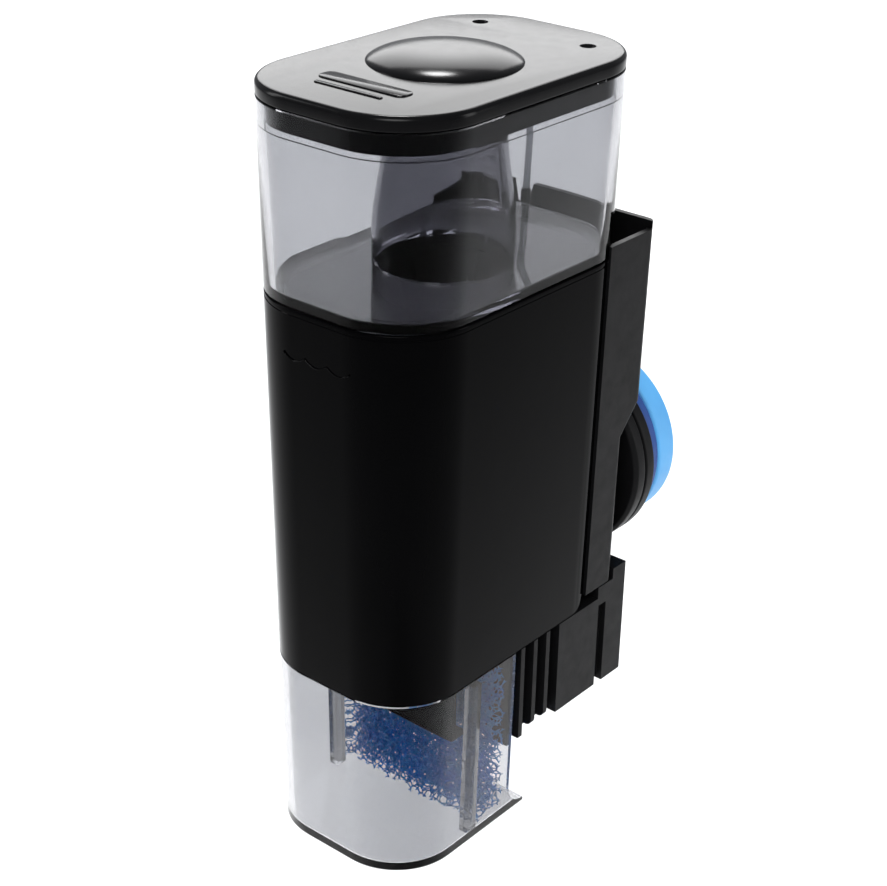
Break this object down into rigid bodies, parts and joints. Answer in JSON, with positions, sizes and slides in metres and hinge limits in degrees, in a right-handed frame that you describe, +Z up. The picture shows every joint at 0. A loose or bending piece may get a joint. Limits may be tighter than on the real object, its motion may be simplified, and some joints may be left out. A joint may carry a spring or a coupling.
{
  "type": "internal aquarium skimmer filter",
  "caption": "Slim in-tank skimmer filter: lid, smoked foam cup, black body with rear intake shaft and pump, clear sponge box, held on the glass by a magnet.",
  "frame": {"origin": "centre of the holder pad's rear face, which lies against the inside of the aquarium glass", "axes": "+Z up; +Y out of the pad's rear face into the glass, so the unit's front faces -Y; X across the unit"},
  "size_m": [0.071, 0.1418, 0.2488],
  "materials": {
    "gloss_black": "polished black moulded plastic",
    "satin_black": "satin black moulded plastic",
    "smoke_clear": "smoke-tinted clear moulded plastic",
    "clear": "clear moulded plastic",
    "blue_sponge": "open-cell blue filter foam",
    "blue_rubber": "light blue rubber",
    "navy_rubber": "dark blue rubber",
    "black_rubber": "black rubber",
    "ceramic": "polished white ceramic",
    "ferrite": "sintered ferrite magnet",
    "red_plastic": "red moulded plastic",
    "hose": "translucent silicone hose"
  },
  "bodies": {
    "holder": {"holder_boss": "satin_black", "magnet_carrier": "satin_black", "magnet_core": "ferrite", "pad_backing": "navy_rubber", "buffer_pad": "blue_rubber"},
    "housing": {"skimmer_body": "gloss_black", "intake_shaft": "satin_black", "reaction_tube": "satin_black", "riser_seal": "black_rubber", "flow_baffle": "satin_black", "pump_housing": "satin_black", "pump_base": "satin_black", "motor_block": "satin_black", "cable_gland": "black_rubber", "motor_buffer_left_front": "black_rubber", "motor_buffer_left_rear": "black_rubber", "motor_buffer_right_front": "black_rubber", "motor_buffer_right_rear": "black_rubber", "rotor_shaft": "ceramic", "rear_bush": "black_rubber", "front_bush": "black_rubber", "pump_cover": "satin_black", "pump_gasket": "black_rubber", "air_nozzle": "gloss_black", "air_socket": "black_rubber", "air_pipe": "clear", "silencer": "satin_black", "air_hose": "hose"},
    "foam_cup": {"foam_cup": "smoke_clear", "riser_tube": "smoke_clear", "cup_gasket": "black_rubber"},
    "lid": {"lid": "gloss_black"},
    "lower_box": {"bubble_trap": "clear", "sponge": "blue_sponge"},
    "rotor": {"rotor_magnet": "ferrite", "needle_wheel": "satin_black"},
    "air_screw": {"air_screw": "red_plastic"}
  },
  "joints": [
    {"name": "holder_swivel", "type": "hinge", "parent": "holder", "child": "housing", "pos_m": [0, -0.0258, 0], "axis": [0, 1, 0], "range_deg": [-12, 12]},
    {"name": "cup_lift", "type": "slide", "parent": "housing", "child": "foam_cup", "axis": [0, 0, 1], "range_m": [0, 0.06]},
    {"name": "lid_lift", "type": "slide", "parent": "foam_cup", "child": "lid", "axis": [0, 0, 1], "range_m": [0, 0.03]},
    {"name": "box_pull", "type": "slide", "parent": "housing", "child": "lower_box", "axis": [0, 0, -1], "range_m": [0, 0.075]},
    {"name": "rotor_spin", "type": "hinge", "parent": "housing", "child": "rotor", "pos_m": [0, -0.0568, -0.0544], "axis": [0, 1, 0], "continuous": true},
    {"name": "air_screw_turn", "type": "hinge", "parent": "housing", "child": "air_screw", "pos_m": [-0.0127, -0.03, 0.136], "axis": [0, 0, 1], "range_deg": [0, 360]}
  ]
}
